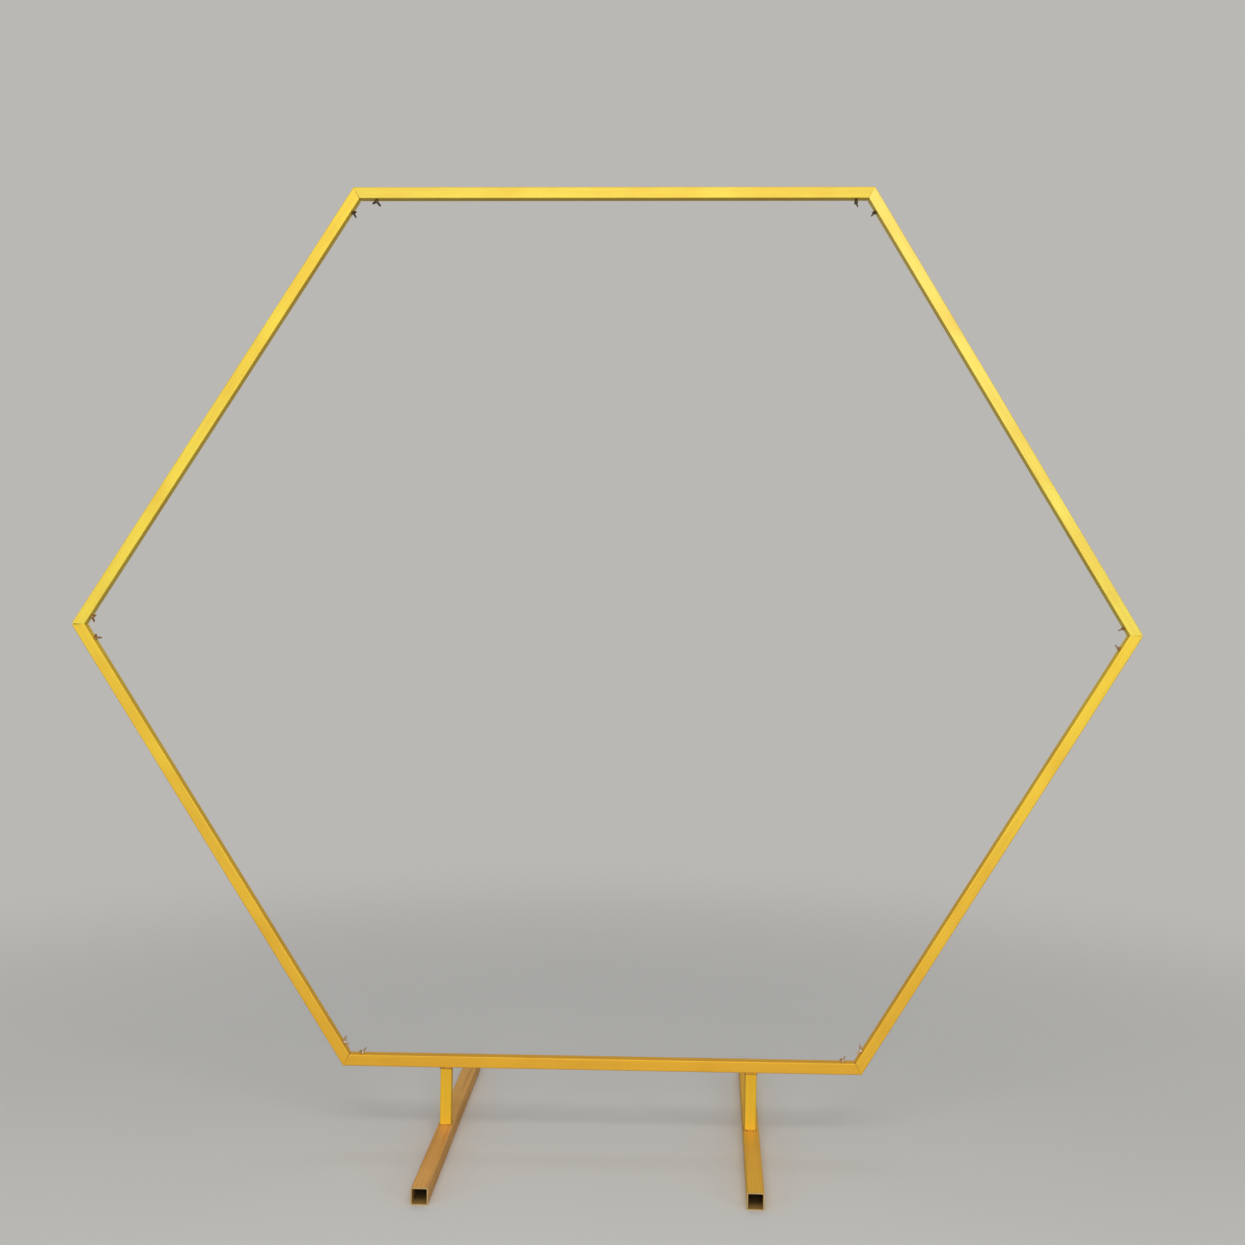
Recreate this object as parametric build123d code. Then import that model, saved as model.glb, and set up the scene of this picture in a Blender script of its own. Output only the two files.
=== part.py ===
from build123d import *
import math
import os

# Backdrop stand: a flat-topped hexagon of six mitred square tubes, held at each corner by an inner
# sleeve and two wing screws, standing on two short uprights welded to two open foot tubes.
# Millimetres and degrees. +X right, +Y away from the front, +Z up. The origin is on the floor,
# midway between the left and right corners and in the middle of the feet's length.

# Hexagon tubes
side_length = 1150.0
tube_size = 25.0
tube_wall = 1.2
tube_corner_radius = 2.0
mitre_angle = 60.0

# The loose corners let the hexagon rack a little. Three inside angles set its shape, and the
# other three follow from six equal sides.
bottom_left_angle = 122.4
bottom_right_angle = 121.6
left_angle = 115.3

# Uprights, between the foot tubes and the bottom tube
upright_height = 128.5
upright_spacing = 676.0
upright_shift = -7.5

# Foot tubes, open at both ends. The uprights and the hexagon stand this far in front of the
# middle of the feet.
foot_size = 35.0
foot_wall = 2.5
foot_corner_radius = 3.5
foot_bore_radius = 1.5
foot_length = 850.0
foot_offset = 65.0

# How each foot was welded on: its turn, and how far it lies to the right and to the back
foot_slips = {"left": (-0.8, 0.0, -3.0), "right": (-2.8, 2.6, 3.0)}

# Inner sleeves at the corners, which the screws draw up against the tubes' inner walls
sleeve_slack = 2.6
sleeve_wall = 1.5
sleeve_arm = 75.0
seat_gap = 0.3

# Wing screws, through holes in the tubes and sleeves into nuts welded inside the sleeves
screw_radius = 2.5
screw_length = 16.0
thread_gap = 0.1
hole_gap = 0.3
nut_flats = 8.0
nut_height = 4.0
bore_sides = 12
hub_radius = 4.4
hub_height = 5.0
hub_edge = 1.0
hub_sides = 12
wing_reach = 12.5
wing_rise = 10.0
wing_width = 5.4
wing_thickness = 2.2
wing_edge = 0.6

# One ear's outline from its root in the hub to its tip: share of its length and of its full width
wing_outline = ((0.0, 0.8), (0.5, 1.0), (0.86, 0.85), (1.0, 0.45))

# Weld beads round the uprights' ends, with their middles a little up or down the upright
bead_radius = 2.2
bead_lift = 1.0
bead_chamfer = 1.3

# Each screw's distance from its tube's inside corner, the turn its wings came to rest at and how
# far its hub stands off the tube, for the two ends of each tube in the order that the tubes are met
screws = {
    "bottom": ((27.0, 62.0, 0.4), (27.0, 54.0, 0.4)),
    "lower_right": ((28.0, 40.0, 0.4), (35.0, 72.0, 0.4)),
    "upper_right": ((20.0, 96.0, 0.4), (32.0, 96.0, 0.4)),
    "top": ((26.0, 114.0, 3.6), (35.0, 126.0, 2.0)),
    "upper_left": ((32.0, 70.0, 0.4), (21.0, 42.0, 0.4)),
    "lower_left": ((37.0, 66.0, 0.4), (27.0, 138.0, 0.4)),
}

mitre_run = tube_size / math.tan(math.radians(mitre_angle))
tube_bore = tube_size - 2 * tube_wall
sleeve_size = tube_bore - sleeve_slack
sleeve_inset = tube_size - tube_wall - seat_gap - sleeve_size
nut_top = -(tube_wall + seat_gap + sleeve_wall)
frame_bottom = foot_size + upright_height


def along(heading):
    """Unit vector of a tube that climbs at this many degrees above +X."""
    return Vector(math.cos(math.radians(heading)), 0, math.sin(math.radians(heading)))


def inward(heading):
    """Unit vector from such a tube towards the inside of the hexagon."""
    return along(heading + 90)


def heading_of(vector):
    return math.degrees(math.atan2(vector.Z, vector.X))


def meeting_point(centre_a, radius_a, centre_b, radius_b):
    """The upper point at these two distances from two centres."""
    span = centre_b - centre_a
    gap = span.length
    run = (radius_a ** 2 - radius_b ** 2 + gap ** 2) / (2 * gap)
    rise = math.sqrt(radius_a ** 2 - run ** 2)
    across = inward(heading_of(span))
    if across.Z < 0:
        across = across * -1
    return centre_a + span * (run / gap) + across * rise


def hexagon_poses():
    """Where each tube starts, at its outer edge, and its heading, going anticlockwise.
    Corners wider than the mitres touch at their outer points, tighter ones at their inner points."""
    inner_run = side_length - mitre_run
    bottom = (Vector(-side_length / 2, -foot_offset, frame_bottom), 0.0)

    lower_right_heading = 180 - bottom_right_angle
    lower_right = (bottom[0] + along(0) * side_length, lower_right_heading)
    right_inner = (lower_right[0] + along(lower_right_heading) * inner_run
                   + inward(lower_right_heading) * tube_size)

    lower_left_heading = bottom_left_angle - 180
    lower_left = (bottom[0] - along(lower_left_heading) * side_length, lower_left_heading)
    left_inner = (lower_left[0] + along(lower_left_heading) * mitre_run
                  + inward(lower_left_heading) * tube_size)

    upper_left_heading = lower_left_heading + left_angle - 180
    upper_left = (left_inner - along(upper_left_heading) * inner_run
                  - inward(upper_left_heading) * tube_size, upper_left_heading)

    top_right = meeting_point(upper_left[0], side_length, right_inner, math.hypot(inner_run, tube_size))
    top = (top_right, heading_of(upper_left[0] - top_right))
    upper_right_heading = heading_of(top_right - right_inner) + math.degrees(math.atan(tube_size / inner_run))
    upper_right = (top_right - along(upper_right_heading) * side_length, upper_right_heading)

    return {"bottom": bottom, "lower_right": lower_right, "upper_right": upper_right,
            "top": top, "upper_left": upper_left, "lower_left": lower_left}


def centred(poses):
    """The same poses, moved sideways so that the widest points are equally far from the origin."""
    ends = [start.X for start, heading in poses.values()]
    ends += [(start + along(heading) * side_length).X for start, heading in poses.values()]
    shift = Vector(-(min(ends) + max(ends)) / 2, 0, 0)
    return {name: (start + shift, heading) for name, (start, heading) in poses.items()}, shift.X


def square(size, radius):
    return RectangleRounded(size, size, radius) if radius else Rectangle(size, size)


def square_tube(size, wall, radius, bore_radius, length, start_cut=90.0, end_cut=90.0):
    """A tube along X with its outer face on Z=0, its long edge from 0 to the length,
    and its ends cut at these angles to its length."""
    section = square(size, radius) - square(size - 2 * wall, bore_radius)
    tube = Pos(-size, 0, size / 2) * extrude(Plane.YZ * section, length + 2 * size)
    for place, cut, side in ((0, start_cut, 1), (length, end_cut, -1)):
        angle = math.radians(cut)
        keep_side = Plane((place, 0, 0), z_dir=(side * math.sin(angle), 0, -math.cos(angle)))
        tube = split(tube, keep_side, Keep.TOP)
    return tube


def placed(pose):
    """The plane of a tube: X along it, Y away from the front and Z into the hexagon."""
    start, heading = pose
    return Plane(origin=start, x_dir=along(heading), z_dir=inward(heading))


def screw_place(name, end):
    """A screw's place on its tube's inner face, in the tube's own plane. End 0 is the tube's start."""
    distance, turn, stand_off = screws[name][end]
    run = mitre_run + distance
    return Pos(side_length - run if end else run, 0, tube_size) * Rot(0, 0, turn)


def screw_hole():
    """The hole through the tube's wall and the sleeve's, with Z=0 at the tube's face."""
    return Cylinder(screw_radius + hole_gap, 2 * (tube_wall - nut_top))


def frame_tube(name):
    tube = square_tube(tube_size, tube_wall, tube_corner_radius, 0, side_length, mitre_angle, mitre_angle)
    for end in (0, 1):
        tube -= screw_place(name, end) * screw_hole()
    return tube


def weld_nut():
    """A plain hexagon nut under the sleeve's wall, with Z=0 at the tube's face."""
    section = RegularPolygon(nut_flats / 2, 6, major_radius=False)
    section -= RegularPolygon(screw_radius + thread_gap, bore_sides, major_radius=False)
    return Pos(0, 0, nut_top - nut_height) * extrude(section, nut_height)


def wing():
    """One cast ear of the screw, leaning out from the hub, with its edges broken all round."""
    root = Vector(hub_radius / 2, 0, hub_height / 2)
    reach = Vector(wing_reach, 0, wing_rise) - root
    across = reach.cross(Vector(0, 1, 0)).normalized() * (wing_width / 2)
    near_edge = [root + reach * share + across * width for share, width in wing_outline]
    far_edge = [root + reach * share - across * width for share, width in reversed(wing_outline)]
    outline = make_face(Polyline(*near_edge, *far_edge, close=True))
    ear = extrude(outline, wing_thickness / 2, both=True)
    flats = ear.faces().sort_by(Axis.Y)
    return chamfer(flats[0].edges() + flats[-1].edges(), wing_edge)


def wing_screw(stand_off):
    """The screw's hub, two wings and plain shank down through its nut, with Z=0 at the tube's face."""
    shank_length = screw_length + hub_height / 2
    shank = Pos(0, 0, shank_length / 2 - screw_length) * Cylinder(screw_radius, shank_length)
    hub = extrude(RegularPolygon(hub_radius, hub_sides), hub_height)
    hub = chamfer(hub.edges().group_by(Axis.Z)[-1], hub_edge)
    ear = wing()
    return Pos(0, 0, stand_off) * (shank + hub + ear + Rot(0, 0, 180) * ear)


def corner_sleeve(before, after):
    """Two short tubes mitred and welded into one angle, lying along the inner walls of the tubes' bores."""
    (start_a, heading_a), (start_b, heading_b) = poses[before], poses[after]
    inside_angle = 180 - (heading_b - heading_a) % 360
    line_a = start_a + inward(heading_a) * sleeve_inset
    line_b = start_b + inward(heading_b) * sleeve_inset
    run = (line_b - line_a).dot(inward(heading_b)) / along(heading_a).dot(inward(heading_b))
    corner = line_a + along(heading_a) * run
    arm_a = square_tube(sleeve_size, sleeve_wall, 0, 0, sleeve_arm, 90, inside_angle / 2)
    arm_b = square_tube(sleeve_size, sleeve_wall, 0, 0, sleeve_arm, inside_angle / 2, 90)
    sleeve = placed((corner - along(heading_a) * sleeve_arm, heading_a)) * arm_a
    sleeve += placed((corner, heading_b)) * arm_b
    for name, end in ((before, 1), (after, 0)):
        sleeve -= placed(poses[name]) * screw_place(name, end) * screw_hole()
    return sleeve


def upright_plane(x):
    """The plane of an upright's tube: X up it and Z towards the left."""
    return Plane(origin=(x + tube_size / 2, -foot_offset, foot_size), x_dir=(0, 0, 1), z_dir=(-1, 0, 0))


def foot_plane(x, side):
    """The plane of a foot tube, turned about its upright: X along it from its front end and Z up."""
    turn, right, back = foot_slips[side]
    front_end = back + foot_offset - foot_length / 2
    return Plane.XY * Pos(x + right, -foot_offset, 0) * Rot(0, 0, turn + 90) * Pos(front_end, 0, 0)


def filled(size, radius, length):
    """The space that a tube takes up, bore and all, in the tube's own plane."""
    return Pos(0, 0, size / 2) * extrude(Plane.YZ * square(size, radius), length)


def weld_bead(x, level, welded):
    """A bead right round an upright's end, eight-sided in section, with cut corners.
    What lies inside the welded tubes is cut away."""
    across = tube_size + 2 * bead_radius
    bead = Box(across, across, 2 * bead_radius)
    bead = chamfer(bead.edges().filter_by(Axis.Z), bead_radius)
    bead = chamfer(bead.edges().group_by(Axis.Z)[0] + bead.edges().group_by(Axis.Z)[-1], bead_chamfer)
    return Pos(x, -foot_offset, level) * bead - welded


poses, sideways = centred(hexagon_poses())
names = list(poses)
parts = {}

for index, name in enumerate(names):
    plane = placed(poses[name])
    parts[name + "_tube"] = plane * frame_tube(name)
    for end, neighbour in ((0, names[index - 1]), (1, names[(index + 1) % 6])):
        place = plane * screw_place(name, end)
        stand_off = screws[name][end][2]
        parts[f"{name}_nut_by_{neighbour}"] = place * weld_nut()
        parts[f"{name}_screw_by_{neighbour}"] = place * wing_screw(stand_off)

corner_names = ["bottom_right", "right", "top_right", "top_left", "left", "bottom_left"]
for index, corner in enumerate(corner_names):
    parts[corner + "_sleeve"] = corner_sleeve(names[index], names[(index + 1) % 6])

frame_space = placed(poses["bottom"]) * filled(tube_size, tube_corner_radius, side_length)
for side, share in (("left", -0.5), ("right", 0.5)):
    x = sideways + upright_shift + share * upright_spacing
    upright = square_tube(tube_size, tube_wall, tube_corner_radius, 0, upright_height)
    parts[side + "_upright"] = upright_plane(x) * upright
    foot = square_tube(foot_size, foot_wall, foot_corner_radius, foot_bore_radius, foot_length)
    parts[side + "_foot_tube"] = foot_plane(x, side) * foot
    post_space = upright_plane(x) * filled(tube_size, tube_corner_radius, upright_height)
    foot_space = foot_plane(x, side) * filled(foot_size, foot_corner_radius, foot_length)
    parts[side + "_foot_weld"] = weld_bead(x, foot_size + bead_lift, [post_space, foot_space])
    parts[side + "_top_weld"] = weld_bead(x, frame_bottom - bead_lift, [post_space, frame_space])

os.makedirs("parts", exist_ok=True)
for name, part in parts.items():
    export_step(part, f"parts/{name}.step")

for name, (start, heading) in poses.items():
    print(f"{name} starts at {start.X:.1f}, {start.Z:.1f}, heading {heading:.2f}")
print(len(parts), "nodes")
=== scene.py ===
import math

import bmesh
import bpy
from mathutils import Matrix, Vector, noise


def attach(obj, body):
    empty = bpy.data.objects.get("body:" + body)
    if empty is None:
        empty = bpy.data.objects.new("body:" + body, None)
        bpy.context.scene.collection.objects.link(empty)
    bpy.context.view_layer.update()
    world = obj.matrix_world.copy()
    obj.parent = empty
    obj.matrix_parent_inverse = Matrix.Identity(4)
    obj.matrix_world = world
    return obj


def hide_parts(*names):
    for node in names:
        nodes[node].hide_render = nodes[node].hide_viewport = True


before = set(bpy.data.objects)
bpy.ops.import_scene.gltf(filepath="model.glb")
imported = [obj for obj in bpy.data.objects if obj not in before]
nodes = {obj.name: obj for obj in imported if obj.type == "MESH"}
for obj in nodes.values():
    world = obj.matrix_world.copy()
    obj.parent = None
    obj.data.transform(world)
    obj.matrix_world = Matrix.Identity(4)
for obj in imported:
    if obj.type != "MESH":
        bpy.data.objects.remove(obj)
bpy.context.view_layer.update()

print("frame loaded:", len(nodes), "nodes")


# Camera, at the height of a standing viewer's chest and almost square on
cameraSet = {
    "place": (0.07507, -3.31411, 1.19018),
    "turn": (89.4069, -0.8410, 0.6628),
    "focalPixels": 1465.79,
    "photoPixels": 1245,
    "sensorWidth": 36,
    "nearest": 0.05,
}

scene = bpy.context.scene
scene.view_settings.view_transform = "Standard"
bpy.ops.object.camera_add(location=cameraSet["place"], rotation=[math.radians(a) for a in cameraSet["turn"]])
camera = bpy.context.object
camera.name = "photoCamera"
camera.data.sensor_width = cameraSet["sensorWidth"]
camera.data.lens = cameraSet["sensorWidth"] * cameraSet["focalPixels"] / cameraSet["photoPixels"]
camera.data.clip_start = cameraSet["nearest"]
scene.camera = camera
print("camera ready")


# Where the tubes lie, in metres and degrees. Each frame tube starts at its outer edge and climbs at its heading,
# and they are met anticlockwise. The feet are turned about their uprights.
layout = {
    "depth": -0.065,
    "length": 1.150,
    "tubeSize": 0.025,
    "tubeWall": 0.0012,
    "mitre": 60,
    "tubes": {
        "bottom": ((-0.568190, 0.163500), 0.0),
        "lower_right": ((0.581810, 0.163500), 58.4),
        "upper_right": ((1.184392, 1.144651), 121.7044),
        "top": ((0.580025, 2.123037), -179.2954),
        "upper_left": ((-0.569888, 2.108896), -122.3),
        "lower_left": ((-1.184391, 1.134477), -57.6),
    },
    "uprights": {"left": -0.338690, "right": 0.337310},
    "uprightFoot": 0.035,
    "uprightTop": 0.1635,
    "footSize": 0.035,
    "footWall": 0.0025,
    "footLength": 0.850,
    # turn, shift to the right, front end
    "feet": {"left": (-0.8, 0.0, -0.363), "right": (-2.8, 0.0026, -0.357)},
}


def tubePlane(name):
    # x along the tube, y away from the front, z into the hexagon
    (x, z), heading = layout["tubes"][name]
    return Matrix.Translation((x, layout["depth"], z)) @ Matrix.Rotation(-math.radians(heading), 4, "Y")


def uprightPlane(side):
    # x up the upright, z to the left
    x = layout["uprights"][side] + layout["tubeSize"] / 2
    return Matrix.Translation((x, layout["depth"], layout["uprightFoot"])) @ Matrix.Rotation(-math.pi / 2, 4, "Y")


def footPlane(side):
    # x along the foot from its front end, z up
    turn, right, front = layout["feet"][side]
    place = Matrix.Translation((layout["uprights"][side] + right, layout["depth"], 0))
    return place @ Matrix.Rotation(math.radians(turn + 90), 4, "Z") @ Matrix.Translation((front, 0, 0))


def linear(hexColour):
    # sRGB hex to the linear values that Blender works in
    parts = [int(hexColour[i:i + 2], 16) / 255 for i in (1, 3, 5)]
    return tuple(c / 12.92 if c <= 0.04045 else ((c + 0.055) / 1.055) ** 2.4 for c in parts) + (1.0,)


def newMaterial(name):
    material = bpy.data.materials.new(name)
    material.use_nodes = True
    tree = material.node_tree
    return material, tree, tree.nodes["Principled BSDF"]


def addNode(tree, kind, settings=None, links=None):
    # settings: a property by name, or a socket's value by its name or number
    # links: socket of this node -> (other node, its output)
    node = tree.nodes.new("ShaderNode" + kind)
    for key, value in (settings or {}).items():
        if isinstance(key, str) and hasattr(node, key):
            setattr(node, key, value)
        else:
            node.inputs[key].default_value = value
    for key, (source, output) in (links or {}).items():
        tree.links.new(source.outputs[output], node.inputs[key])
    return node


def mixColour(tree, factor, first, second):
    # first and second: an sRGB hex, or the mix node that they come from
    mix = addNode(tree, "Mix", {"data_type": "RGBA"}, {"Factor": factor} if factor else {})
    for socket, colour in ((6, first), (7, second)):
        if isinstance(colour, str):
            mix.inputs[socket].default_value = linear(colour)
        else:
            tree.links.new(colour.outputs[2], mix.inputs[socket])
    return mix


def spots(tree, source, output, span, share=1.0):
    # how much of a patch there is: none below the span of the noise, and share above it
    return addNode(tree, "MapRange", {"From Min": span[0], "From Max": span[1], "To Max": share},
                   {"Value": (source, output)})


def deselect():
    bpy.ops.object.select_all(action="DESELECT")


def pick(piece, kind, test):
    # selects faces by centre and normal, edges by their two ends, or points by place
    bpy.ops.mesh.select_mode(type=kind)
    bpy.ops.mesh.select_all(action="DESELECT")
    edit = bmesh.from_edit_mesh(piece.data)
    if kind == "FACE":
        found = [f for f in edit.faces if test(f.calc_center_median(), f.normal)]
    elif kind == "EDGE":
        found = [e for e in edit.edges if test(e.verts[0].co, e.verts[1].co)]
    else:
        found = [v for v in edit.verts if test(v.co)]
    for element in found:
        element.select_set(True)
    bmesh.update_edit_mesh(piece.data)


def editing(piece):
    deselect()
    piece.select_set(True)
    bpy.context.view_layer.objects.active = piece
    bpy.ops.object.mode_set(mode="EDIT")


def doneEditing():
    bpy.ops.object.mode_set(mode="OBJECT")


def applyPlace():
    bpy.ops.object.transform_apply(location=True, rotation=True, scale=True)


def useModifier(piece, kind, **settings):
    modifier = piece.modifiers.new(kind.lower(), kind)
    for key, value in settings.items():
        setattr(modifier, key, value)
    deselect()
    piece.select_set(True)
    bpy.context.view_layer.objects.active = piece
    bpy.ops.object.modifier_apply(modifier=modifier.name)


def joined(pieces):
    deselect()
    for piece in pieces:
        piece.select_set(True)
    bpy.context.view_layer.objects.active = pieces[0]
    bpy.ops.object.join()
    return pieces[0]


# Studio: a wide pale floor that fades into a pale room on every side, and five soft lamps
studio = {
    "floorHex": "#FAF8F4",
    "cloudHex": "#F4F2EE",
    "cloudScale": 1.2,        # clouds in the paper, nearly a metre across
    "roughness": 0.85,
    "specular": 0.1,
    "bounceHex": "#423F3C",   # what the floor throws back on to the stand, so that its undersides stay deep
    "roomHex": "#BAB8B4",     # the room as the eye and the paint's gloss see it
    "floorRadius": 40.0,
    "fade": (0.8, 3.6),       # the floor has faded into the room at these distances
    "skyHex": "#E9ECEF",      # the light that the room gives
    "skyStrength": 0.27,
    # place, size, watts, colour, where it points
    "lamps": {
        "overFront": ((0.0, -4.2, 4.4), (4.6, 2.0), 72, "#FFFEF8", (0.0, 0.0, 1.0)),
        "front": ((0.2, -5.6, 1.3), (2.0, 1.4), 88, "#FFFFFF", (0.0, 0.0, 1.0)),
        "leftFront": ((-4.4, -5.0, 1.6), (1.6, 2.2), 39, "#FFFFFF", (0.0, 0.0, 0.4)),
        "rightFront": ((4.4, -5.0, 1.6), (1.6, 2.2), 41, "#FFFFFF", (0.0, 0.0, 0.4)),
        "overRear": ((0.0, 3.4, 5.4), (4.6, 2.0), 20, "#FFFFFF", (0.0, 0.0, 1.0)),
    },
}


def seenRay(tree):
    # 1 for a ray that the eye follows straight, off a gloss or through glass, and 0 for light
    ray = addNode(tree, "LightPath")
    seen = addNode(tree, "Math", {"operation": "MAXIMUM"}, {0: (ray, "Is Camera Ray"), 1: (ray, "Is Glossy Ray")})
    return addNode(tree, "Math", {"operation": "MAXIMUM"}, {0: (seen, 0), 1: (ray, "Is Transmission Ray")})


def studioPaint():
    # matt backdrop paper, which is lost in the brightness of the room far from the stand
    material, tree, shader = newMaterial("matt studio paper")
    place = addNode(tree, "TexCoord")
    cloud = addNode(tree, "TexNoise", {"Scale": studio["cloudScale"], "Detail": 3.0}, {"Vector": (place, "Object")})
    paper = mixColour(tree, (cloud, "Fac"), studio["floorHex"], studio["cloudHex"])
    seen = seenRay(tree)
    tint = mixColour(tree, (seen, 0), studio["bounceHex"], paper)
    tree.links.new(tint.outputs[2], shader.inputs["Base Color"])
    shader.inputs["Roughness"].default_value = studio["roughness"]
    shader.inputs["Specular IOR Level"].default_value = studio["specular"]

    near, far = studio["fade"]
    distance = addNode(tree, "VectorMath", {"operation": "LENGTH"}, {0: (place, "Object")})
    fade = addNode(tree, "MapRange", {"interpolation_type": "SMOOTHSTEP", "From Min": near, "From Max": far},
                   {"Value": (distance, "Value")})
    fade = addNode(tree, "Math", {"operation": "MULTIPLY"}, {0: (fade, 0), 1: (seen, 0)})
    room = addNode(tree, "Emission", {"Color": linear(studio["roomHex"])})
    blend = addNode(tree, "MixShader", None, {0: (fade, 0), 1: (shader, 0), 2: (room, 0)})
    tree.links.new(blend.outputs[0], tree.nodes["Material Output"].inputs["Surface"])
    return material


def makeStudio():
    deselect()
    bpy.ops.mesh.primitive_circle_add(vertices=96, radius=studio["floorRadius"], fill_type="NGON")
    floor = bpy.context.object
    floor.name = "studioFloor"
    floor.data.materials.append(studioPaint())

    world = bpy.data.worlds.new("softRoom")
    scene.world = world
    world.use_nodes = True
    tree = world.node_tree
    seen = seenRay(tree)
    tint = mixColour(tree, (seen, 0), studio["skyHex"], studio["roomHex"])
    strength = addNode(tree, "MapRange", {"To Min": studio["skyStrength"], "To Max": 1.0}, {"Value": (seen, 0)})
    tree.links.new(tint.outputs[2], tree.nodes["Background"].inputs["Color"])
    tree.links.new(strength.outputs[0], tree.nodes["Background"].inputs["Strength"])

    for name, (place, size, watts, hexColour, target) in studio["lamps"].items():
        bpy.ops.object.light_add(type="AREA", location=place)
        lamp = bpy.context.object
        lamp.name = name
        lamp.visible_camera = False
        lamp.data.shape = "RECTANGLE"
        lamp.data.size, lamp.data.size_y = size
        lamp.data.energy = watts
        lamp.data.color = linear(hexColour)[:3]
        lamp.rotation_euler = (Vector(target) - Vector(place)).to_track_quat("-Z", "Y").to_euler()


makeStudio()
print("studio ready")


# Gold paint on steel tube. Scales are in turns per metre, from real sizes.
goldPaint = {
    # painted light and shade: each tube's colour at its low and high end, amber-orange where less light reaches near
    # the floor and lemon where the light is strongest at the top
    "paintedLightTones": {
        "top": ("#F1D858", "#F1D858"),
        "upper_left": ("#FFE655", "#FFE254"),
        "upper_right": ("#FFEE66", "#FFE878"),
        "lower_left": ("#FBBE37", "#FFDC45"),
        "lower_right": ("#FEC439", "#FFDE48"),
        "bottom": ("#FABC36", "#FABC36"),
        "left": ("#FFCF32", "#FFCB2E"),
        "right": ("#FBCB32", "#FBC82E"),
    },
    "deepHex": "#E2A02C",     # where the coat lies thick
    "deepShare": 0.25,
    "deepSpots": (0.4, 0.6),  # the span of the noise over which a patch comes in, here and in the other spots
    "flakeHex": "#FFE070",
    "flakeShare": 0.45,
    "flakeSpots": (0.45, 0.75),
    "edgeHex": "#EBCB8E",     # what the sheen turns to at a glancing angle
    "chipHex": "#6E5A3C",     # primer and steel where the paint has been knocked off
    "boreHex": "#6E5E40",     # bare tube inside, with rust, lighter near its ends, partly from overspray and partly painted light where light reaches into the bore
    "rustHex": "#6B4526",
    "rustSpots": (0.5, 0.62),
    "sprayHex": "#C29C58",
    "sprayAndLightReach": 0.06,
    "lipHex": "#D2B27A",      # cut ends, where the coat is thin over bright steel
    "lipReach": 0.0004,
    "metallic": 0.4,
    "specular": 0.15,
    "roughness": (0.43, 0.53),
    "wornRoughness": 0.75,
    "flakeScale": 650,        # flake is 0.1 mm, drawn about 1.5 mm across so that it shows
    "cloudScale": 7,          # spray passes, about 150 mm apart
    "peelScale": 280,         # orange peel, 3 to 4 mm across
    "peelDepth": 0.00006,
    "stretch": 0.025,         # roll lines and rubs are 40 times as long as wide
    "streakScale": 420,       # roll lines of the tube, 2 to 3 mm apart
    "rubHex": "#B9853E",      # long rubbed streaks, about 8 mm wide
    "rubScale": 120,
    "rubShare": 0.1,
    "rubSpots": (0.48, 0.66),
    "chipScale": 170,         # knocks, about 5 mm across
    "chipFrom": 0.80,
    "chipEdge": 0.03,
    "chipReach": 0.07,        # knocks lie near the ends, which get handled
    "chipExtra": 0.10,
    "chipDepth": 0.0001,
}


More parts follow.
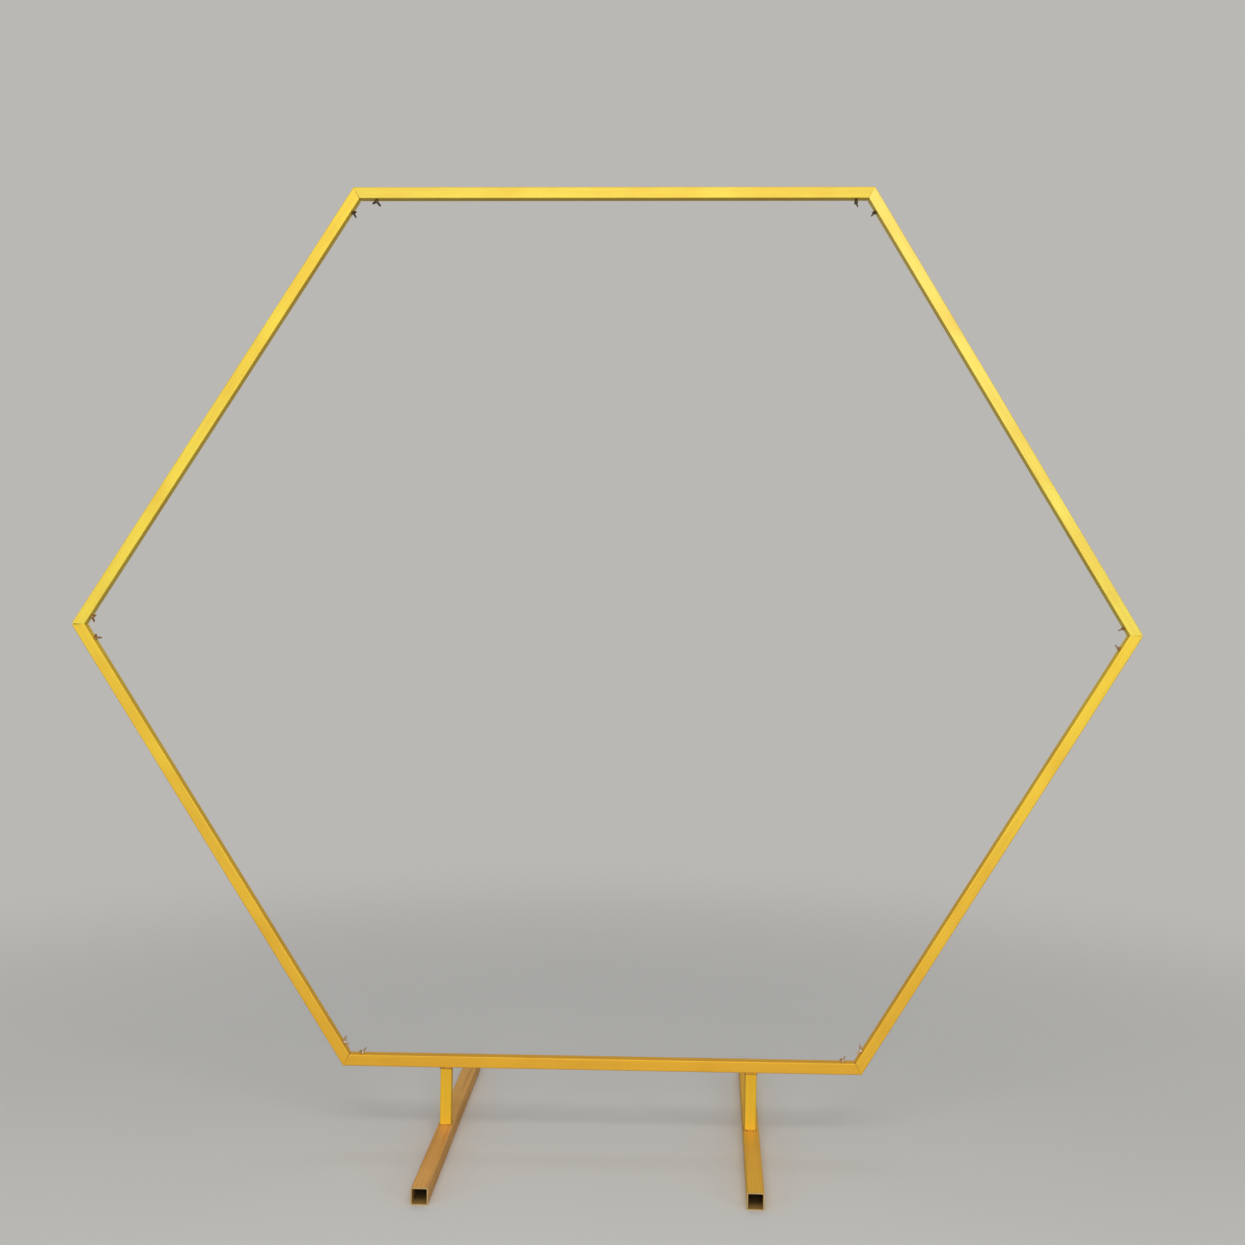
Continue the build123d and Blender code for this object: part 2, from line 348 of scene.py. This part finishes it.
def goldLacquer(name, paintedLightTones, plane, size, wall, length, look):
    # gold metallic lacquer sprayed on cold-formed steel tube: a warm satin sheen, broken up by flake, by faint roll
    # lines along the tube and by orange peel, with knocked paint near the ends, a bare dark bore, and painted light
    # and shade that lighten it towards the top
    material, tree, shader = newMaterial(name)
    place = addNode(tree, "TexCoord")
    own = addNode(tree, "Mapping", {"vector_type": "TEXTURE", "Location": plane.to_translation(),
                                    "Rotation": plane.to_euler()}, {"Vector": (place, "Object")})
    stretched = addNode(tree, "Mapping", {"Scale": (look["stretch"], 1, 1)}, {"Vector": (own, 0)})
    flake = addNode(tree, "TexNoise", {"Scale": look["flakeScale"], "Detail": 1.0}, {"Vector": (own, 0)})
    cloud = addNode(tree, "TexNoise", {"Scale": look["cloudScale"], "Detail": 2.0}, {"Vector": (own, 0)})
    peel = addNode(tree, "TexNoise", {"Scale": look["peelScale"], "Detail": 1.0}, {"Vector": (own, 0)})
    streak = addNode(tree, "TexNoise", {"Scale": look["streakScale"], "Detail": 2.0}, {"Vector": (stretched, 0)})
    rub = addNode(tree, "TexNoise", {"Scale": look["rubScale"], "Detail": 3.0}, {"Vector": (stretched, 0)})
    knock = addNode(tree, "TexNoise", {"Scale": look["chipScale"], "Detail": 4.0}, {"Vector": (own, 0)})

    split = addNode(tree, "SeparateXYZ", None, {0: (own, 0)})
    fromMiddle = addNode(tree, "Math", {"operation": "SUBTRACT", 1: length / 2}, {0: (split, "X")})
    fromMiddle = addNode(tree, "Math", {"operation": "ABSOLUTE"}, {0: (fromMiddle, 0)})
    nearEnd = addNode(tree, "MapRange", {"From Min": length / 2 - look["chipReach"], "From Max": length / 2,
                                         "To Max": look["chipExtra"]}, {"Value": (fromMiddle, 0)})
    knocked = addNode(tree, "Math", {"operation": "ADD"}, {0: (knock, "Fac"), 1: (nearEnd, 0)})
    chips = spots(tree, knocked, 0, (look["chipFrom"], look["chipFrom"] + look["chipEdge"]))

    # inside the bore when both distances from the tube's middle are less than the bore's half
    across = addNode(tree, "Math", {"operation": "ABSOLUTE"}, {0: (split, "Y")})
    rise = addNode(tree, "Math", {"operation": "SUBTRACT", 1: size / 2}, {0: (split, "Z")})
    rise = addNode(tree, "Math", {"operation": "ABSOLUTE"}, {0: (rise, 0)})
    furthest = addNode(tree, "Math", {"operation": "MAXIMUM"}, {0: (across, 0), 1: (rise, 0)})
    inBore = addNode(tree, "Math", {"operation": "LESS_THAN", 1: size / 2 - 0.7 * wall}, {0: (furthest, 0)})
    rusty = spots(tree, knock, "Fac", look["rustSpots"])
    # the bore lightens towards the tube's ends: partly overspray, partly painted light where light reaches in
    sprayed = addNode(tree, "MapRange", {"From Min": length / 2 - look["sprayAndLightReach"], "From Max": length / 2},
                      {"Value": (fromMiddle, 0)})
    cutEnd = addNode(tree, "Math", {"operation": "GREATER_THAN", 1: length / 2 - look["lipReach"]},
                     {0: (fromMiddle, 0)})

    # painted light and shade: the colour runs from the tube's low tone to its high tone with height, lighter towards
    # the top where the light is strongest
    low, high = paintedLightTones
    ends = [(plane @ Vector((x, 0, 0))).z for x in (0, length)]
    world = addNode(tree, "SeparateXYZ", None, {0: (place, "Object")})
    paintedLightByHeight = addNode(tree, "MapRange", {"From Min": min(ends), "From Max": max(max(ends), min(ends) + 0.01)},
                    {"Value": (world, "Z")})
    thick = spots(tree, cloud, "Fac", look["deepSpots"], look["deepShare"])
    paint = mixColour(tree, (paintedLightByHeight, 0), low, high)
    paint = mixColour(tree, (thick, 0), paint, look["deepHex"])
    rubbed = spots(tree, rub, "Fac", look["rubSpots"], look["rubShare"])
    paint = mixColour(tree, (rubbed, 0), paint, look["rubHex"])
    shine = spots(tree, flake, "Fac", look["flakeSpots"], look["flakeShare"])
    paint = mixColour(tree, (shine, 0), paint, look["flakeHex"])
    paint = mixColour(tree, (chips, 0), paint, look["chipHex"])
    bare = mixColour(tree, (rusty, 0), look["boreHex"], look["rustHex"])
    bare = mixColour(tree, (sprayed, 0), bare, look["sprayHex"])
    paint = mixColour(tree, (inBore, 0), paint, bare)
    paint = mixColour(tree, (cutEnd, 0), paint, look["lipHex"])
    tree.links.new(paint.outputs[2], shader.inputs["Base Color"])

    low, high = look["roughness"]
    satin = addNode(tree, "MapRange", {"From Min": 0.3, "From Max": 0.7, "To Min": low, "To Max": high},
                    {"Value": (streak, "Fac")})
    dull = addNode(tree, "Math", {"operation": "MAXIMUM"}, {0: (inBore, 0), 1: (chips, 0)})
    rough = addNode(tree, "Mix", {"data_type": "FLOAT", 3: look["wornRoughness"]},
                    {"Factor": (dull, 0), 2: (satin, 0)})
    tree.links.new(rough.outputs[0], shader.inputs["Roughness"])
    skin = addNode(tree, "Bump", {"Strength": 0.5, "Distance": look["peelDepth"]}, {"Height": (peel, "Fac")})
    dents = addNode(tree, "Bump", {"Strength": 0.6, "Distance": look["chipDepth"], "invert": True},
                    {"Height": (chips, 0), "Normal": (skin, 0)})
    tree.links.new(dents.outputs[0], shader.inputs["Normal"])
    shader.inputs["Metallic"].default_value = look["metallic"]
    shader.inputs["Specular IOR Level"].default_value = look["specular"]
    shader.inputs["Specular Tint"].default_value = linear(look["edgeHex"])
    return material


def coat(name, material):
    nodes[name].data.materials.clear()
    nodes[name].data.materials.append(material)


for name in layout["tubes"]:
    coat(name + "_tube", goldLacquer(name + " gold metallic lacquer", goldPaint["paintedLightTones"][name], tubePlane(name),
                                     layout["tubeSize"], layout["tubeWall"], layout["length"], goldPaint))
for side in layout["uprights"]:
    rise = layout["uprightTop"] - layout["uprightFoot"]
    coat(side + "_upright", goldLacquer(side + " upright gold metallic lacquer", goldPaint["paintedLightTones"][side],
                                        uprightPlane(side), layout["tubeSize"], layout["tubeWall"], rise,
                                        goldPaint | {"chipReach": 0.03}))
print("frame and uprights painted")


# The feet have the same paint, browner, partly with dust and partly with painted shade for the duller light that their
# tops catch, and rubbed by the floor
footPaint = goldPaint | {
    "paintedLightTones": {"left": ("#FABE6C", "#FABE6C"), "right": ("#FFC846", "#FFC846")},
    "deepHex": "#DDA154",
    "rubHex": "#98603A",
    "flakeHex": "#F0C870",
    "metallic": 0.35,
    "roughness": (0.42, 0.56),
    "chipFrom": 0.76,
    "chipReach": 0.12,
}
footWear = {
    "left": {"deepShare": 0.4, "rubShare": 0.4},
    "right": {"deepShare": 0.15, "rubShare": 0.2},
}

for side in layout["feet"]:
    coat(side + "_foot_tube", goldLacquer(side + " foot gold metallic lacquer", footPaint["paintedLightTones"][side],
                                          footPlane(side), layout["footSize"], layout["footWall"],
                                          layout["footLength"], footPaint | footWear[side]))
print("feet painted")


# Sleeves and their nuts, inside the corners
millSteel = {
    "baseHex": "#4C433A",
    "scaleHex": "#352E28",
    "rustHex": "#5A4029",
    "rustSpots": (0.58, 0.7),
    "scalePatch": 45,         # mill scale, in patches about 20 mm across
    "roughness": (0.45, 0.62),
    "metallic": 0.6,
    # gold that ran into the seams of the corners that were painted closed
    "sprayHex": "#D8A93C",
    "sprayShare": (0.95, 0.75),
    "sprayed": ("top_left", "top_right", "right", "bottom_left"),
}


def makeMillSteel(name, coated):
    # hot-rolled mild steel: dull grey-brown mill scale with a little rust, uncoated or under a thin gold overspray
    material, tree, shader = newMaterial(name)
    place = addNode(tree, "TexCoord")
    patch = addNode(tree, "TexNoise", {"Scale": millSteel["scalePatch"], "Detail": 6.0}, {"Vector": (place, "Object")})
    rust = spots(tree, patch, "Fac", millSteel["rustSpots"])
    steel = mixColour(tree, (patch, "Fac"), millSteel["scaleHex"], millSteel["baseHex"])
    steel = mixColour(tree, (rust, 0), steel, millSteel["rustHex"])
    if coated:
        most, least = millSteel["sprayShare"]
        thin = addNode(tree, "MapRange", {"From Min": 0.3, "From Max": 0.7, "To Min": most, "To Max": least},
                       {"Value": (patch, "Fac")})
        steel = mixColour(tree, (thin, 0), steel, millSteel["sprayHex"])
    tree.links.new(steel.outputs[2], shader.inputs["Base Color"])
    low, high = millSteel["roughness"]
    rough = addNode(tree, "MapRange", {"To Min": low, "To Max": high}, {"Value": (patch, "Fac")})
    tree.links.new(rough.outputs[0], shader.inputs["Roughness"])
    shader.inputs["Metallic"].default_value = millSteel["metallic"]
    return material


bareSteel = makeMillSteel("mill finish mild steel", False)
sprayedSteel = makeMillSteel("mild steel under gold overspray", True)
for name in nodes:
    if name.endswith("_sleeve") or "_nut_" in name:
        coat(name, sprayedSteel if name.removesuffix("_sleeve") in millSteel["sprayed"] else bareSteel)
print("sleeves and nuts finished")


# Wing screws: cast in one piece with soft edges, and an M5 thread
wingScrew = {
    "hubRadius": 0.0044,
    "hubHeight": 0.0050,
    "hubTaper": 0.80,
    "hubDome": 0.0006,
    "wingReach": 0.0125,
    "wingRise": 0.0100,
    "wingWidth": 0.0054,
    "wingThick": 0.0022,
    "rootThick": 1.5,
    "castGrain": 0.0004,      # the remesh that runs the wings into the hub
    "threadRadius": 0.0025,
    "threadLength": 0.016,
    "threadPitch": 0.0008,
    "threadDepth": 0.86,
    # at each tube's start and end: distance from the inside corner, turn of the wings in degrees, stand-off
    "places": {
        "bottom": ((0.027, 62, 0.0004), (0.027, 54, 0.0004)),
        "lower_right": ((0.028, 40, 0.0004), (0.035, 72, 0.0004)),
        "upper_right": ((0.020, 96, 0.0004), (0.032, 96, 0.0004)),
        "top": ((0.026, 114, 0.0036), (0.035, 126, 0.0020)),
        "upper_left": ((0.032, 70, 0.0004), (0.021, 42, 0.0004)),
        "lower_left": ((0.037, 66, 0.0004), (0.027, 138, 0.0004)),
    },
    "zincHex": "#C9A074",
    "dullHex": "#9A7650",
    "dullScale": 160,         # tarnish, in spots of 5 to 6 mm
    "paintedShadeHex": "#62543F",  # painted shade: the topmost screws, which hang in the shade under the top tube, darkened between these heights
    "paintedShadeHeights": (1.3, 1.9),
    "paintedHighlightHex": "#D3C6B2",     # painted highlight: the lowest screws, lit from above, lightened between these heights
    "paintedHighlightHeights": (0.9, 0.3),
    "paintedHighlightShare": 0.7,
    "sandScale": 1400,        # casting grain, under a millimetre
    "sandDepth": 0.00008,
    "roughness": (0.38, 0.6),
    "metallic": 0.85,
}


def makeZinc():
    # dull zinc plating on a casting: grey-brown, satin, with the fine sand grain of the mould
    material, tree, shader = newMaterial("dull zinc on cast iron")
    place = addNode(tree, "TexCoord")
    dull = addNode(tree, "TexNoise", {"Scale": wingScrew["dullScale"], "Detail": 4.0}, {"Vector": (place, "Object")})
    sand = addNode(tree, "TexNoise", {"Scale": wingScrew["sandScale"], "Detail": 2.0}, {"Vector": (place, "Object")})
    tint = mixColour(tree, (dull, "Fac"), wingScrew["dullHex"], wingScrew["zincHex"])
    split = addNode(tree, "SeparateXYZ", None, {0: (place, "Object")})
    # painted shade darkens the screws high up, where they hang in the shade under the top tube
    upper = spots(tree, split, "Z", wingScrew["paintedShadeHeights"])
    tint = mixColour(tree, (upper, 0), tint, wingScrew["paintedShadeHex"])
    # painted highlight on the lowest screws, where the light falls on them from above
    lower = spots(tree, split, "Z", wingScrew["paintedHighlightHeights"], wingScrew["paintedHighlightShare"])
    tint = mixColour(tree, (lower, 0), tint, wingScrew["paintedHighlightHex"])
    tree.links.new(tint.outputs[2], shader.inputs["Base Color"])
    low, high = wingScrew["roughness"]
    rough = addNode(tree, "MapRange", {"To Min": low, "To Max": high}, {"Value": (dull, "Fac")})
    tree.links.new(rough.outputs[0], shader.inputs["Roughness"])
    skin = addNode(tree, "Bump", {"Strength": 0.5, "Distance": wingScrew["sandDepth"]}, {"Height": (sand, "Fac")})
    tree.links.new(skin.outputs[0], shader.inputs["Normal"])
    shader.inputs["Metallic"].default_value = wingScrew["metallic"]
    return material


def makeWing():
    # a flat oval, leaning out from the hub and thicker at its root
    root = Vector((wingScrew["hubRadius"] / 2, 0, wingScrew["hubHeight"] / 2))
    tip = Vector((wingScrew["wingReach"], 0, wingScrew["wingRise"]))
    lean = math.atan2(tip.z - root.z, tip.x - root.x)
    half = (tip - root).length / 2
    deselect()
    bpy.ops.mesh.primitive_cylinder_add(vertices=32, radius=half, depth=wingScrew["wingThick"],
                                        location=(root + tip) / 2, rotation=(math.pi / 2, -lean, 0),
                                        scale=(1, wingScrew["wingWidth"] / 2 / half, 1))
    wing = bpy.context.object
    applyPlace()
    editing(wing)
    pick(wing, "VERT", lambda p: p.x < (root.x + tip.x) / 2 - 0.002)
    bpy.ops.transform.resize(value=(1, wingScrew["rootThick"], 1), center_override=(0, 0, 0))
    doneEditing()
    return wing


def makeThread():
    length = wingScrew["threadLength"] + wingScrew["hubHeight"] / 2
    deselect()
    bpy.ops.mesh.primitive_cylinder_add(vertices=20, radius=wingScrew["threadRadius"], depth=length,
                                        location=(0, 0, length / 2 - wingScrew["threadLength"]))
    thread = bpy.context.object
    applyPlace()
    steps = 2 * round(length / wingScrew["threadPitch"])
    end = -wingScrew["threadLength"]
    editing(thread)
    pick(thread, "EDGE", lambda a, b: abs(a.z - b.z) > length / 2)
    bpy.ops.mesh.subdivide(number_cuts=steps - 1)
    pick(thread, "VERT", lambda p: round((p.z - end) / length * steps) % 2 == 0)
    bpy.ops.transform.resize(value=(wingScrew["threadDepth"], wingScrew["threadDepth"], 1), center_override=(0, 0, 0))
    doneEditing()
    return thread


def makeWingScrew():
    radius, height = wingScrew["hubRadius"], wingScrew["hubHeight"]
    deselect()
    bpy.ops.mesh.primitive_cylinder_add(vertices=32, radius=radius, depth=height, location=(0, 0, height / 2))
    hub = bpy.context.object
    applyPlace()
    editing(hub)
    pick(hub, "FACE", lambda c, n: n.z > 0.9)
    bpy.ops.transform.resize(value=(wingScrew["hubTaper"], wingScrew["hubTaper"], 1), center_override=(0, 0, height))
    bpy.ops.mesh.inset(thickness=0.25 * radius)
    bpy.ops.transform.translate(value=(0, 0, wingScrew["hubDome"]))
    doneEditing()
    right, left = makeWing(), makeWing()
    left.rotation_euler.z = math.pi
    applyPlace()
    screw = joined([hub, right, left])
    useModifier(screw, "REMESH", mode="VOXEL", voxel_size=wingScrew["castGrain"])
    useModifier(screw, "SMOOTH", factor=0.5, iterations=5)
    screw = joined([screw, makeThread()])
    bpy.ops.object.shade_smooth_by_angle(angle=math.radians(50))
    screw.data.materials.clear()
    screw.data.materials.append(makeZinc())
    return screw


def placeScrews():
    names = list(layout["tubes"])
    mitreRun = layout["tubeSize"] / math.tan(math.radians(layout["mitre"]))
    first = makeWingScrew()
    for index, name in enumerate(names):
        for end, neighbour in ((0, names[index - 1]), (1, names[(index + 1) % 6])):
            distance, turn, standOff = wingScrew["places"][name][end]
            run = mitreRun + distance
            run = layout["length"] - run if end else run
            seat = Matrix.Translation((run, 0, layout["tubeSize"] + standOff))
            seat = seat @ Matrix.Rotation(math.radians(turn), 4, "Z")
            screw = first.copy()
            screw.data = first.data.copy()
            screw.name = f"{name}_wing_screw_by_{neighbour}"
            scene.collection.objects.link(screw)
            screw.data.transform(tubePlane(name) @ seat)
            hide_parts(f"{name}_screw_by_{neighbour}")
            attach(screw, "root")
    bpy.data.objects.remove(first)


placeScrews()
print("wing screws placed")


# Weld beads round the uprights' ends
weldBead = {
    "ring": 0.0125,           # half of the square that the bead's middle follows
    "radius": 0.0021,
    "lift": 0.0008,
    "squareness": 8,          # 2 would make the bead's ring round
    "scales": 0.0034,         # length of one ripple of the weld
    "thinnest": 0.84,
    "rippleHeight": 0.2,
    "cornerLump": 0.30,
    "unevenness": 0.35,
    "around": 168,
    "section": 14,
    "paintHex": "#D9A033",
    "scorchHex": "#7A552A",   # brown where the paint is thin in the ripples
    "scorchSpots": (0.5, 0.62),
    "spotScale": 420,         # 2 to 3 mm across
    "spotDepth": 0.0002,
    "roughness": (0.35, 0.65),
    "metallic": 0.5,
}


def makeBead(name, x, level, seed):
    deselect()
    bpy.ops.mesh.primitive_torus_add(major_radius=weldBead["ring"], minor_radius=weldBead["radius"],
                                     major_segments=weldBead["around"], minor_segments=weldBead["section"])
    bead = bpy.context.object
    bead.name = name
    power = -1 / weldBead["squareness"]
    for point in bead.data.vertices:
        turn = math.atan2(point.co.y, point.co.x)
        side, front = abs(math.cos(turn)), abs(math.sin(turn))
        ring = weldBead["ring"] * (side ** weldBead["squareness"] + front ** weldBead["squareness"]) ** power
        ripple = abs(math.sin(turn * 4 * weldBead["ring"] / weldBead["scales"]))
        corner = (2 * side * front) ** 6
        uneven = noise.noise(Vector((math.cos(turn) * 4, math.sin(turn) * 4, seed * 7.3)))
        swell = weldBead["thinnest"] + weldBead["rippleHeight"] * ripple
        swell += weldBead["cornerLump"] * corner + weldBead["unevenness"] * uneven
        out = math.hypot(point.co.x, point.co.y) - weldBead["ring"]
        reach = ring + out * swell
        point.co = (x + reach * math.cos(turn), layout["depth"] + reach * math.sin(turn), level + point.co.z * swell)
    bpy.ops.object.shade_smooth()
    bead.data.materials.append(weldPaint)
    return bead


def makeWeldPaint():
    # lacquer over a rippled weld: gold on the crowns, brown scale left in the ripples
    material, tree, shader = newMaterial("gold lacquer over weld bead")
    place = addNode(tree, "TexCoord")
    speck = addNode(tree, "TexNoise", {"Scale": weldBead["spotScale"], "Detail": 4.0}, {"Vector": (place, "Object")})
    scorch = spots(tree, speck, "Fac", weldBead["scorchSpots"])
    paint = mixColour(tree, (scorch, 0), weldBead["paintHex"], weldBead["scorchHex"])
    tree.links.new(paint.outputs[2], shader.inputs["Base Color"])
    low, high = weldBead["roughness"]
    rough = addNode(tree, "MapRange", {"To Min": low, "To Max": high}, {"Value": (speck, "Fac")})
    tree.links.new(rough.outputs[0], shader.inputs["Roughness"])
    skin = addNode(tree, "Bump", {"Strength": 0.6, "Distance": weldBead["spotDepth"]}, {"Height": (speck, "Fac")})
    tree.links.new(skin.outputs[0], shader.inputs["Normal"])
    shader.inputs["Metallic"].default_value = weldBead["metallic"]
    return material


weldPaint = makeWeldPaint()
for seed, (side, x) in enumerate(layout["uprights"].items()):
    levels = {"foot": layout["uprightFoot"] + weldBead["lift"], "top": layout["uprightTop"] - weldBead["lift"]}
    for end, level in levels.items():
        bead = makeBead(f"{side}_{end}_bead", x, level, 2 * seed + (end == "top"))
        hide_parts(f"{side}_{end}_weld")
        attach(bead, "root")
print("weld beads placed")
